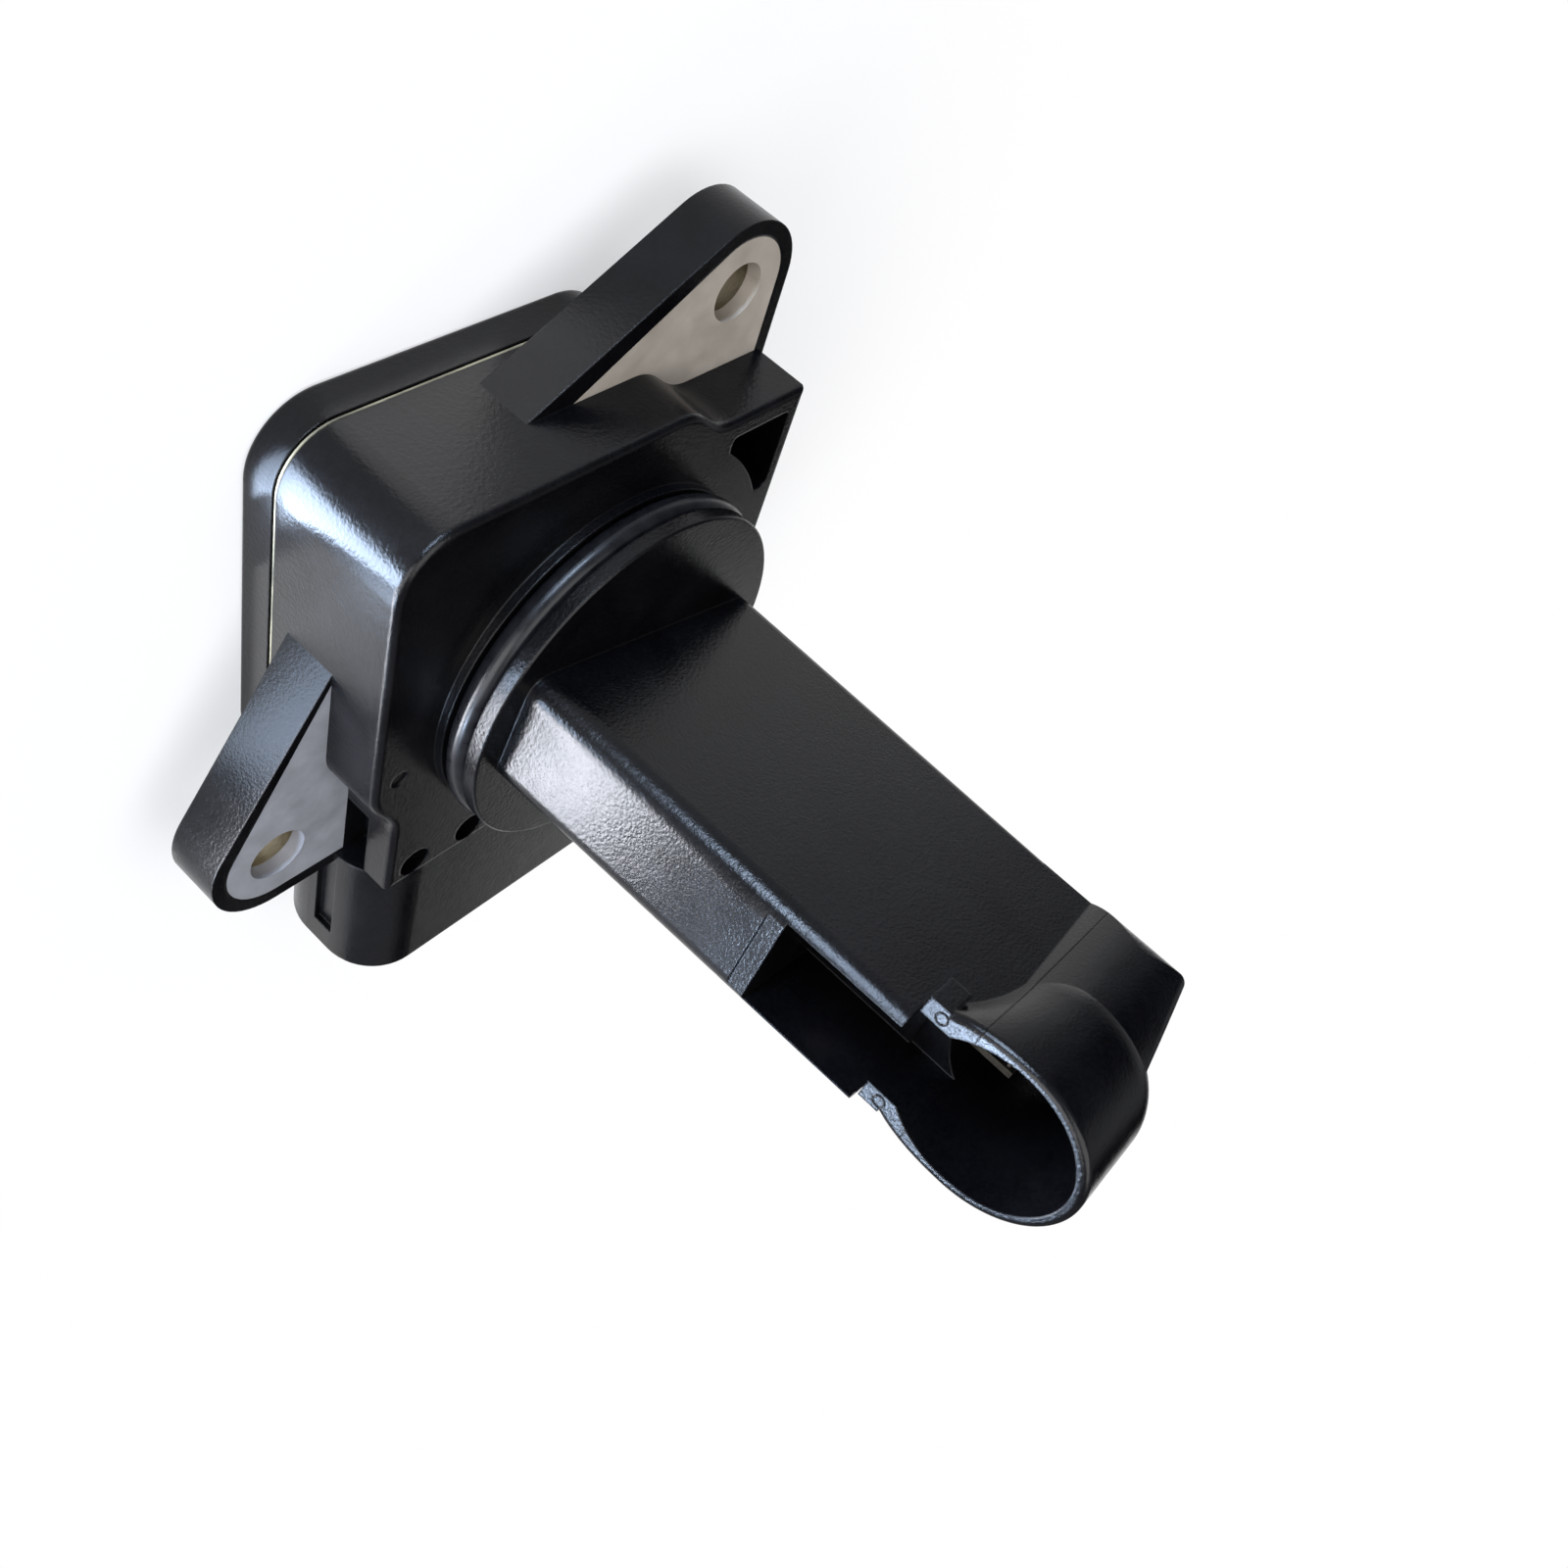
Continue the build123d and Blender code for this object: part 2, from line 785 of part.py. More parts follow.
def make_ear_plate(ear_outline, root_inset, hole):
    """Steel plate, flush with the ear's mounting face."""
    with BuildPart() as plate:
        with BuildSketch(Plane.XY):
            add(plate_outline(ear_outline, root_inset, hole))
        extrude(amount=-plate_thickness)
    return plate.part


def make_screw_sleeves():
    """Two sleeves that take the screws' clamping load behind the plates."""
    with BuildPart() as sleeves:
        with BuildSketch(Plane.XY.offset(-ear_thickness)):
            with Locations(upper_hole, lower_hole):
                Circle(screw_hole_radius + sleeve_wall)
                Circle(screw_hole_radius, mode=Mode.SUBTRACT)
        extrude(amount=ear_thickness - plate_thickness)
    return sleeves.part


def make_o_ring():
    """Round-section seal that stands a little proud of the spigot."""
    with BuildPart() as seal:
        with Locations((0, 0, groove_level + groove_width / 2)):
            Torus(groove_radius + seal_seat_gap + seal_cord / 2, seal_cord / 2)
    return seal.part


def make_probe_leads():
    """Conductors from the tub to the duct, where their ends stand proud as posts."""
    with BuildPart() as leads:
        with BuildSketch(probe_level(lead_head_level)):
            element_leads()
        extrude(amount=element_lead_level - lead_head_level)
    return leads.part


def make_element(station, winding_radius):
    """Wire-wound bobbin, welded by its end wires between two posts."""
    span = 2 * element_lead_spread - lead_thickness
    middle = flow_way * station + Vector(0, 0, element_lead_level - element_inset)
    with BuildPart() as element:
        with BuildSketch(Plane(origin=middle, x_dir=flow_way, z_dir=side_way)):
            Circle(winding_radius)
        extrude(amount=element_length / 2, both=True)
        chamfer(element.edges(), winding_radius / 3)
        with BuildSketch(Plane(origin=middle, x_dir=flow_way, z_dir=side_way)):
            Circle(element_wire_radius)
        extrude(amount=span / 2, both=True)
    return element.part


def make_bead_leads():
    """Two conductors that reach into the window and carry the bead."""
    with BuildPart() as leads:
        with BuildSketch(probe_level(lead_head_level)):
            bead_lead_pair()
        extrude(amount=window_level + bead_lead_reach - lead_head_level)
    return leads.part


def make_bead():
    """Resin-dipped thermistor bead, flat where it sits on its leads."""
    seat_level = window_level + bead_lead_reach
    seat_radius = bead_lead_spread
    centre_height = (bead_radius**2 - seat_radius**2) ** 0.5
    with BuildPart() as bead:
        with Locations(flow_way * -bead_lead_station + Vector(0, 0, seat_level + centre_height)):
            Sphere(bead_radius)
        split(bisect_by=Plane.XY.offset(seat_level), keep=Keep.TOP)
    return bead.part


def plate_sketch(inset, corner):
    """Rounded plate outline in the upper part of the tub, pulled in by an inset."""
    side_inset = box_wall + plate_margin + inset
    with Locations((box_centre[0], box_top - side_inset)):
        RectangleRounded(
            box_width - 2 * side_inset,
            box_top - side_inset - plate_bottom - inset,
            corner,
            align=(Align.CENTER, Align.MAX),
        )


def make_base_plate():
    """Aluminium plate on the tub's floor."""
    with BuildPart() as base:
        with BuildSketch(Plane.XY.offset(base_back_level)):
            plate_sketch(0, base_corner)
        extrude(amount=base_thickness)
    return base.part


def make_circuit_board():
    """Ceramic circuit, bonded on the base plate."""
    with BuildPart() as board:
        with BuildSketch(Plane.XY.offset(board_back_level)):
            plate_sketch(board_margin, board_corner)
        extrude(amount=board_thickness)
    return board.part


def make_signal_chip():
    """Square signal chip, with rounded corners and a small mark for its first pin."""
    with BuildPart() as chip:
        with BuildSketch(Plane.XY.offset(board_back_level)):
            with Locations((board_centre[0] - part_row_offset, board_centre[1])):
                RectangleRounded(chip_size, chip_size, chip_round)
        extrude(amount=-chip_height)
    return chip.part


def make_chip_parts(centre_x, columns, rows, length, width, height):
    """Grid of like chip parts on the board."""
    with BuildPart() as parts:
        with BuildSketch(Plane.XY.offset(board_back_level)):
            with Locations((centre_x, board_centre[1])):
                with GridLocations(part_pitch, part_pitch, columns, rows):
                    Rectangle(length, width)
        extrude(amount=-height)
    return parts.part


def ribbon_face(x, board_y, pad_y, pad_level, loop):
    """Side view of a bond ribbon: a foot at each end and an arc between them."""
    offset_level = ribbon_thickness / 2
    start = (board_y, board_back_level - offset_level)
    start_heel = (board_y - ribbon_foot, board_back_level - offset_level)
    end_heel = (pad_y + ribbon_foot, pad_level - offset_level)
    end = (pad_y, pad_level - offset_level)
    crest = ((start_heel[0] + end_heel[0]) / 2, min(start[1], end[1]) - loop)
    with BuildSketch(Plane.YZ.offset(x - ribbon_width / 2)) as side:
        with BuildLine():
            Line(start, start_heel)
            ThreePointArc(start_heel, crest, end_heel)
            Line(end_heel, end)
        trace(line_width=ribbon_thickness)
    return side.sketch


def make_bond_ribbons():
    """Aluminium ribbons from the board's pads to the blades and to the probe's conductors."""
    probe_row_y = plate_bottom + board_margin + pad_inset + ribbon_foot
    blade_row_y = probe_row_y + pad_row_pitch
    blade_pad_y = tub_bottom_y + blade_pad_reach - pad_inset - ribbon_foot
    with BuildPart() as ribbons:
        for place in GridLocations(blade_pitch, blade_pitch, blade_count, 1):
            x = socket_centre_x + place.position.X
            extrude(
                ribbon_face(x, blade_row_y, blade_pad_y, blade_pad_level, ribbon_loop),
                amount=ribbon_width,
            )
        for place in GridLocations(2 * element_lead_gap, 2 * element_lead_spread, 2, 2):
            head = flow_way * place.position.X + side_way * place.position.Y
            pad_y = head.Y - ribbon_foot / 2
            extrude(
                ribbon_face(head.X, probe_row_y, pad_y, lead_head_level, probe_ribbon_loop),
                amount=ribbon_width,
            )
        for place in GridLocations(lead_width, 2 * bead_lead_spread, 1, 2):
            head = flow_way * -bead_lead_station + side_way * place.position.Y
            pad_y = head.Y - ribbon_foot / 2
            extrude(
                ribbon_face(head.X, probe_row_y, pad_y, lead_head_level, probe_ribbon_loop),
                amount=ribbon_width,
            )
    return ribbons.part


def make_connector_blades():
    """Row of blades from the socket through the wall to the tub."""
    with BuildPart() as terminals:
        with BuildSketch(Plane.XZ.offset(-tub_bottom_y - blade_pad_reach)):
            blades()
        extrude(amount=socket_reach - blade_setback + tub_bottom_y + blade_pad_reach)
        tips = terminals.faces().group_by(Axis.Y)[0].edges()
        chamfer(tips, blade_thickness / 4)
    return terminals.part


def write_piece(piece, name):
    """Label a piece and write it to its own file."""
    piece.label = name
    export_step(piece, f"parts/{name}.step")


os.makedirs("parts", exist_ok=True)
duct_body = make_duct_body()
duct_passage = make_duct_passage()
pieces = {
    "housing": make_housing(duct_body, duct_passage),
    "duct_tip": make_duct_tip(duct_body, duct_passage),
    "lid": make_lid(),
    "lid_sealant": make_lid_sealant(),
    "upper_ear_plate": make_ear_plate(upper_ear_outline, upper_plate_inset, upper_hole),
    "lower_ear_plate": make_ear_plate(lower_ear_outline, lower_plate_inset, lower_hole),
    "screw_sleeves": make_screw_sleeves(),
    "o_ring": make_o_ring(),
    "probe_leads": make_probe_leads(),
    "hot_element": make_element(-element_lead_gap, element_radius),
    "compensation_element": make_element(element_lead_gap, compensation_radius),
    "bead_leads": make_bead_leads(),
    "air_temperature_bead": make_bead(),
    "base_plate": make_base_plate(),
    "circuit_board": make_circuit_board(),
    "signal_chip": make_signal_chip(),
    "chip_capacitors": make_chip_parts(
        board_centre[0],
        capacitor_columns,
        capacitor_rows,
        capacitor_length,
        capacitor_width,
        capacitor_height,
    ),
    "chip_resistors": make_chip_parts(
        board_centre[0] + part_row_offset,
        resistor_columns,
        resistor_rows,
        resistor_length,
        resistor_width,
        resistor_height,
    ),
    "bond_ribbons": make_bond_ribbons(),
    "connector_blades": make_connector_blades(),
}
for name, piece in pieces.items():
    write_piece(piece, name)
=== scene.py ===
# %% [markdown]
# # A plug-in mass airflow sensor
# The sensor is a black moulded housing with a steel plate in each ear, a round spigot with its
# seal, and a flat probe that ends in a small bypass duct. Its pieces come ready as solids, each in
# the place it has on the object. Loading them keeps every size true, so these cells add only the
# studio, the finishes and the fine details.

# %% Load the pieces
import bpy
import json
from math import cos, pi, radians, sin
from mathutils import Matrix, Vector


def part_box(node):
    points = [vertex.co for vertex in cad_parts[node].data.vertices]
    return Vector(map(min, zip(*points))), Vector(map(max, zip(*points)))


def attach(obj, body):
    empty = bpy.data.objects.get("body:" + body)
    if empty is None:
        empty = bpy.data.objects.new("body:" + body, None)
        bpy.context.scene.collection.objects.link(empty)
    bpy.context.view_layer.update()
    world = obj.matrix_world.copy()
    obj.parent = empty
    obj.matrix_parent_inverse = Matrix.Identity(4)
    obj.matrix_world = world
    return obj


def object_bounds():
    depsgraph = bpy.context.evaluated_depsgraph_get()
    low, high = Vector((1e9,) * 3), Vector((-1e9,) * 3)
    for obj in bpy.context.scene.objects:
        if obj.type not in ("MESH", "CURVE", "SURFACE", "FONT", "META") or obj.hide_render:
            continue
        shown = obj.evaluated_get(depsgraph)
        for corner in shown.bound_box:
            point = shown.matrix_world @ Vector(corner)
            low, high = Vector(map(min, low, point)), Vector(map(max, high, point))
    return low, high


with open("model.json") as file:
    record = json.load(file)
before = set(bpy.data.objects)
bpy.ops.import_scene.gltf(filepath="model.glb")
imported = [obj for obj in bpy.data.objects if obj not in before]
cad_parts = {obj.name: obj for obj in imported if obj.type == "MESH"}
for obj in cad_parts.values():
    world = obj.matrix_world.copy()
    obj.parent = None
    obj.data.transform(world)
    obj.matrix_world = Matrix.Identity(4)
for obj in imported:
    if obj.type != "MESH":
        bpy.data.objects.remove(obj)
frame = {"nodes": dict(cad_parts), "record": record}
solid_box = [list(corner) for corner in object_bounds()]
nodes = frame["nodes"]
print("pieces:", len(nodes))

# %% [markdown]
# Blender works in metres here, and a sensor of this kind is drawn in millimetres. One named value
# turns one into the other. Colours are picked as the hex values that a screen shows, and a
# function turns them into the linear values that Blender's shaders expect. Linear values could be
# typed by hand, but they are hard to picture.

# %% Units and colours
MM = 0.001


def linear(hex_colour):
    """Linear red, green, blue and alpha of an sRGB hex colour, by the standard curve."""
    channels = [int(hex_colour[i : i + 2], 16) / 255 for i in (1, 3, 5)]
    curve = [c / 12.92 if c <= 0.04045 else ((c + 0.055) / 1.055) ** 2.4 for c in channels]
    return (*curve, 1.0)


print("box in mm:", [round((high - low) / MM, 1) for low, high in zip(*solid_box)])
print("a mid grey of #808080 is", round(linear("#808080")[0], 3), "in linear light")

# %% [markdown]
# The picture was taken from about 110 mm away, with the probe pointing out of it to the lower
# right. A wide lens that near makes the tip look large. The camera could be placed by eye, but its
# place and turn were found from the outlines of the flat faces and of the round spigot, so that
# every edge falls where the picture has it.

# %% Camera
CAMERA_PLACE = Vector((-62.18, 79.14, 48.95)) * MM
CAMERA_TURN = (-68.090, -46.302, 23.020)  # degrees
LENS = 35.42  # focal length, in the same unit as the sensor's width
SENSOR = 36.0
NEAREST_SEEN = 5 * MM
FARTHEST_SEEN = 20.0

camera_data = bpy.data.cameras.new("studio_camera")
camera_data.lens = LENS
camera_data.sensor_width = SENSOR
camera_data.clip_start = NEAREST_SEEN
camera_data.clip_end = FARTHEST_SEEN
camera = bpy.data.objects.new("studio_camera", camera_data)
camera.location = CAMERA_PLACE
camera.rotation_euler = [radians(angle) for angle in CAMERA_TURN]
bpy.context.scene.collection.objects.link(camera)
bpy.context.scene.camera = camera
print("the camera stands", round(CAMERA_PLACE.length / MM), "mm from the origin")

# %% [markdown]
# Materials are built from nodes, and nearly all of that is the same three steps: make a node, set
# some values, and join some inputs. One small function does these steps, so each material below
# reads as a list of what feeds what.

# %% One function for nodes


def add_node(tree, kind, settings=(), links=()):
    """Add a node, set its inputs or options, and link sockets into its inputs."""
    node = tree.nodes.new(kind)
    for name, value in dict(settings).items():
        if isinstance(name, str) and name not in node.inputs:
            setattr(node, name, value)
        else:
            node.inputs[name].default_value = value
    for name, socket in dict(links).items():
        tree.links.new(socket, node.inputs[name])
    return node


def new_material(name):
    """An empty node material and its tree."""
    material = bpy.data.materials.new(name)
    material.use_nodes = True
    material.node_tree.nodes.clear()
    return material, material.node_tree


print("nodes are added by one function")

# %% [markdown]
# The room and the table both change with the way that something lies, and with what a ray is for.
# Two short chains of nodes answer that. The first gives 1 where a way lies along a fixed
# direction, and falls softly to 0 beside it. The second gives 1 for rays that look at a surface or
# mirror it. Painted pictures could do the same, but a sum has no seams and needs no file.

# %% Directions and rays


def direction(azimuth, elevation):
    """Unit vector of a direction given in degrees."""
    azimuth, elevation = radians(azimuth), radians(elevation)
    level = cos(elevation)
    return Vector((level * cos(azimuth), level * sin(azimuth), sin(elevation)))


def share_facing(tree, way, towards, low, high):
    """0 where a way's part along a vector is below low, 1 above high, and soft between them."""
    part = add_node(
        tree, "ShaderNodeVectorMath", {"operation": "DOT_PRODUCT", 1: towards}, {0: way}
    )
    share = add_node(
        tree,
        "ShaderNodeMapRange",
        {"interpolation_type": "SMOOTHSTEP", "From Min": low, "From Max": high},
        {"Value": part.outputs["Value"]},
    )
    return share.outputs[0]


def seen_directly(tree):
    """1 for the rays that look at a surface or mirror it, 0 for those that light the object."""
    path = add_node(tree, "ShaderNodeLightPath")
    looked_at = path.outputs["Is Camera Ray"]
    for kind_of_ray in ("Is Glossy Ray", "Is Transmission Ray"):
        either = add_node(
            tree,
            "ShaderNodeMath",
            {"operation": "MAXIMUM"},
            {0: looked_at, 1: path.outputs[kind_of_ray]},
        )
        looked_at = either.outputs[0]
    return looked_at


print("azimuth 90, elevation 0 is", [round(part, 2) for part in direction(90, 0)])

# %% [markdown]
# A small black product needs a pale room around it, because its half-gloss skin shows mostly what
# it mirrors. A white backdrop fills the picture. Above it the room has a dark corner, which keeps
# the face that looks up that way nearly black, as in the photograph. A smaller dark corner to the
# right does the same for the side of the tip. Elsewhere the room is a calm grey. Real boards could
# stand there, but the world's own colour can't get in the light's way.

# %% Backdrop and room
ROOM_WHITE = "#ffffff"
ROOM_GREY = "#8e8f93"
ROOM_DARK = "#08080a"
ROOM_FILL = 0.34
# Azimuth and elevation in degrees, then the angles where full darkness ends and where it is gone
DARK_CORNERS = ((-55, 27, 20, 33), (24, 26, 10, 26))
# The backdrop ends at the picture's lower and right sides, with a soft margin past each
HALF_PICTURE = 0.5 * SENSOR / LENS
BACKDROP_MARGIN = (0.02, 0.09)

view_turn = camera.rotation_euler.to_matrix()
backdrop_sides = [
    view_turn @ Vector(side) for side in ((0, -1, HALF_PICTURE), (1, 0, HALF_PICTURE))
]

world = bpy.data.worlds.new("studio_room")
bpy.context.scene.world = world
world.use_nodes = True
room = world.node_tree
room.nodes.clear()
way = add_node(room, "ShaderNodeTexCoord").outputs["Generated"]
past_side = [share_facing(room, way, side, *BACKDROP_MARGIN) for side in backdrop_sides]
past_backdrop = add_node(
    room, "ShaderNodeMath", {"operation": "MAXIMUM"}, {0: past_side[0], 1: past_side[1]}
)
dark_parts = [
    share_facing(
        room, way, direction(azimuth, elevation), cos(radians(edge)), cos(radians(core))
    )
    for azimuth, elevation, core, edge in DARK_CORNERS
]
darkness = add_node(
    room, "ShaderNodeMath", {"operation": "MAXIMUM"}, {0: dark_parts[0], 1: dark_parts[1]}
)
room_colour = add_node(
    room,
    "ShaderNodeMix",
    {"data_type": "RGBA", 6: linear(ROOM_GREY), 7: linear(ROOM_DARK)},
    {0: darkness.outputs[0]},
)
wall_colour = add_node(
    room,
    "ShaderNodeMix",
    {"data_type": "RGBA", 6: linear(ROOM_WHITE)},
    {0: past_backdrop.outputs[0], 7: room_colour.outputs[2]},
)
print("the backdrop's sides face", [tuple(round(v, 2) for v in side) for side in backdrop_sides])

# %% [markdown]
# What the room shows and how much it lights the object are two things. Rays that look at the room
# get its colours at full strength, so white is white. All the others get one plain, weaker white,
# which keeps the shadows soft and the black plastic black. One strength for both would be simpler,
# but a white as bright as the backdrop would wash the object out.

# %% Light of the room
room_seen = add_node(
    room, "ShaderNodeBackground", {"Strength": 1.0}, {"Color": wall_colour.outputs[2]}
)
room_fill = add_node(
    room, "ShaderNodeBackground", {"Strength": ROOM_FILL, "Color": linear(ROOM_WHITE)}
)
room_mix = add_node(
    room,
    "ShaderNodeMixShader",
    (),
    {0: seen_directly(room), 1: room_fill.outputs[0], 2: room_seen.outputs[0]},
)
add_node(room, "ShaderNodeOutputWorld", (), {"Surface": room_mix.outputs[0]})
print("the room lights the object with a strength of", ROOM_FILL)

# %% [markdown]
# The table is pale paper. In the picture it has to join the white backdrop with no edge, so there
# it glows for the rays that look at it, fully where it is far from the object, and only in part
# close by, where the paper's own soft shadow has to show. Outside the picture it is plain paper.
# A table cut out by a mask could do it too, but then nothing would carry the shadow.

# %% Paper of the table
PAPER = "#d2d2d4"
NEAR_GLOW = 0.5
NEAR = 20 * MM
FAR = 75 * MM
# The table's part of the picture, as an azimuth and the angles where it ends and where it is full
VIEW_AZIMUTH = -51
VIEW_HALF_ANGLES = (51, 39)

floor_level = solid_box[0][2]
table_material, table_tree = new_material("table_paper")
spot = add_node(table_tree, "ShaderNodeNewGeometry").outputs["Position"]
from_camera = add_node(
    table_tree,
    "ShaderNodeVectorMath",
    {"operation": "SUBTRACT", 1: (CAMERA_PLACE.x, CAMERA_PLACE.y, floor_level)},
    {0: spot},
)
bearing = add_node(
    table_tree,
    "ShaderNodeVectorMath",
    {"operation": "NORMALIZE"},
    {0: from_camera.outputs[0]},
)
in_picture = share_facing(
    table_tree,
    bearing.outputs[0],
    direction(VIEW_AZIMUTH, 0),
    *(cos(radians(angle)) for angle in VIEW_HALF_ANGLES),
)
distance = add_node(table_tree, "ShaderNodeVectorMath", {"operation": "LENGTH"}, {0: spot})
glow_with_distance = add_node(
    table_tree,
    "ShaderNodeMapRange",
    {
        "interpolation_type": "SMOOTHSTEP",
        "From Min": NEAR,
        "From Max": FAR,
        "To Min": NEAR_GLOW,
        "To Max": 1.0,
    },
    {"Value": distance.outputs["Value"]},
)
print("the paper glows fully from", round(FAR / MM), "mm outwards")

# %% [markdown]
# The glow and the plain paper are mixed by three shares: how far off the spot is, whether it lies
# in the picture, and whether the ray looks at it. The table itself is one square face under the
# lid. It stays out of the object's own pieces, because it belongs to the studio.

# %% Table
TABLE_REACH = 1.2

glow_there = add_node(
    table_tree,
    "ShaderNodeMath",
    {"operation": "MULTIPLY"},
    {0: glow_with_distance.outputs[0], 1: in_picture},
)
glow_share = add_node(
    table_tree,
    "ShaderNodeMath",
    {"operation": "MULTIPLY"},
    {0: glow_there.outputs[0], 1: seen_directly(table_tree)},
)
paper = add_node(
    table_tree, "ShaderNodeBsdfDiffuse", {"Color": linear(PAPER), "Roughness": 1.0}
)
glow = add_node(
    table_tree, "ShaderNodeEmission", {"Color": linear(ROOM_WHITE), "Strength": 1.0}
)
table_mix = add_node(
    table_tree,
    "ShaderNodeMixShader",
    (),
    {0: glow_share.outputs[0], 1: paper.outputs[0], 2: glow.outputs[0]},
)
add_node(table_tree, "ShaderNodeOutputMaterial", (), {"Surface": table_mix.outputs[0]})

table_mesh = bpy.data.meshes.new("table")
table_mesh.from_pydata(
    [
        (x * TABLE_REACH, y * TABLE_REACH, floor_level)
        for x, y in ((-1, -1), (1, -1), (1, 1), (-1, 1))
    ],
    [],
    [(0, 1, 2, 3)],
)
table = bpy.data.objects.new("table", table_mesh)
table_mesh.materials.append(table_material)
bpy.context.scene.collection.objects.link(table)
print("the table lies", round(-floor_level / MM, 2), "mm under the mounting faces")

# %% [markdown]
# Black plastic is seen by its mirror images, so most lamps are placed for what they show rather
# than for how much they light. Each is a rectangle with the brightness of its face given, because
# that is what a mirror image shows. The power is worked out from it and from the lamp's area. A
# lit picture of a studio could be wrapped round the object instead, but single lamps can each be
# moved until one edge is right.

# %% Kinds of lamp
PLAIN_TINT = "#ffffff"
PANEL_LIFT = 0.4  # mm over the table


def add_lamp(name, place, target, size, radiance, colour):
    """A rectangular lamp at a place in mm, aimed at a point, with its face's radiance."""
    data = bpy.data.lights.new(name, "AREA")
    data.shape = "RECTANGLE"
    data.size = size[0] * MM
    data.size_y = size[1] * MM
    data.energy = radiance * pi * data.size * data.size_y
    data.color = linear(colour)[:3]
    lamp = bpy.data.objects.new(name, data)
    lamp.location = Vector(place) * MM
    aim = Vector(target) - Vector(place)
    lamp.rotation_euler = aim.to_track_quat("-Z", "Y").to_euler()
    lamp.visible_camera = False
    bpy.context.scene.collection.objects.link(lamp)
    print(f"{name}: {size[0]:g} x {size[1]:g} mm, {data.energy:.4f} W")


def add_table_panel(name, x_range, y_range, radiance, colour):
    """A glowing panel that lies on the table and faces up."""
    middle = (sum(x_range) / 2, sum(y_range) / 2)
    size = (x_range[1] - x_range[0], y_range[1] - y_range[0])
    level = floor_level / MM + PANEL_LIFT
    add_lamp(name, (*middle, level), (*middle, level + 100), size, radiance, colour)


print("panels lie", PANEL_LIFT, "mm over the table")

# %% [markdown]
# One wide lamp overhead and one panel to the left give the plain light. Two low strips give the
# pale edges of the duct's mouth and of the probe. Panels that lie on the table brighten the
# rounded corner, the ear's side, the walls of the box and the narrow edge of the probe, one for
# each. Most of them have the blue tint of the sky, as the picture's highlights do.

# %% Lamps
SKY_TINT = "#cbe1ff"
DAY_TINT = "#f2f5ff"

# Name, place, the point it is aimed at, size in mm, radiance and tint
for lamp in (
    ("top_softbox", (-120, 160, 420), (0, 0, 10), (420, 420), 3.6, PLAIN_TINT),
    ("left_panel", (-330, 60, 90), (0, 0, 10), (260, 200), 6.0, PLAIN_TINT),
    ("rim_panel", (-229, -100, 27), (0, 0, 27), (42, 26), 165.0, SKY_TINT),
    ("strip_panel", (-80, 247, 8), (0, 0, 30), (140, 30), 60.0, SKY_TINT),
):
    add_lamp(*lamp)

# Name, reach along x and along y in mm, radiance and tint
for panel in (
    ("far_panel", (-112, -24), (140, 225), 18.0, SKY_TINT),
    ("corner_panel", (-58, -22), (9, 18.5), 56.0, SKY_TINT),
    ("lid_corner_panel", (-22, -19.3), (12, 18.5), 14.0, SKY_TINT),
    ("ear_panel", (-48, -30), (-4, 6), 13.0, SKY_TINT),
    ("side_panel", (-31, -19.5), (-20, 6), 1.0, PLAIN_TINT),
    ("back_panel", (-14, 1), (21, 42), 1.4, PLAIN_TINT),
    ("root_panel", (-86, -50), (-38, 6), 56.0, DAY_TINT),
    ("edge_panel", (-156, -88), (-104, -40), 1.2, DAY_TINT),
):
    add_table_panel(*panel)

# %% [markdown]
# Every finish of the object ends in the same way: two tones mixed by a pattern, a roughness and a
# bent normal go into one Principled surface. One function joins them, and one pair of numbers
# spreads a noise over its full range, because its values lie mostly between them.

# %% Surface
NOISE_SPAN = (0.3, 0.7)


def join_surface(tree, colours, tone, roughness, normal, settings):
    """Feed a tone between two colours, a roughness and a normal into the surface."""
    colour = add_node(
        tree,
        "ShaderNodeMix",
        {"data_type": "RGBA", 6: linear(colours[0]), 7: linear(colours[1])},
        {0: tone},
    )
    surface = add_node(
        tree,
        "ShaderNodeBsdfPrincipled",
        settings,
        {"Base Color": colour.outputs[2], "Roughness": roughness, "Normal": normal},
    )
    add_node(tree, "ShaderNodeOutputMaterial", (), {"Surface": surface.outputs[0]})


print("a noise is spread from", NOISE_SPAN, "to the full range")

# %% [markdown]
# The housing, the lid and the tip are injection moulded from a polyester filled with short glass
# fibres. Such a skin is half glossy. Where the fibres come up to the surface it is a little rough,
# so a highlight breaks up into a fine grey mottle. An even gloss would look like lacquer. The
# fibres are about 0.01 mm thick, far too fine to show, so the mottle is drawn at a quarter of a
# millimetre. The soft patches of flow and handling are about 6 mm across, as on the real skin.

# %% Moulded plastic
FIBRE_GRAIN = 0.24 * MM  # coarser than the fibres, so that it shows
FLOW_PATCH = 6.0 * MM
MOULD_EDGE = 0.18 * MM  # round of the moulding's edges, which catches a thin line of light
MOTTLE_SPAN = (0.14, 0.42)  # most values of the two noises' product lie between these
POLYESTER_IOR = 1.5
SKIN_SPECULAR = 0.22  # under the usual 0.5, matched to the dark faces


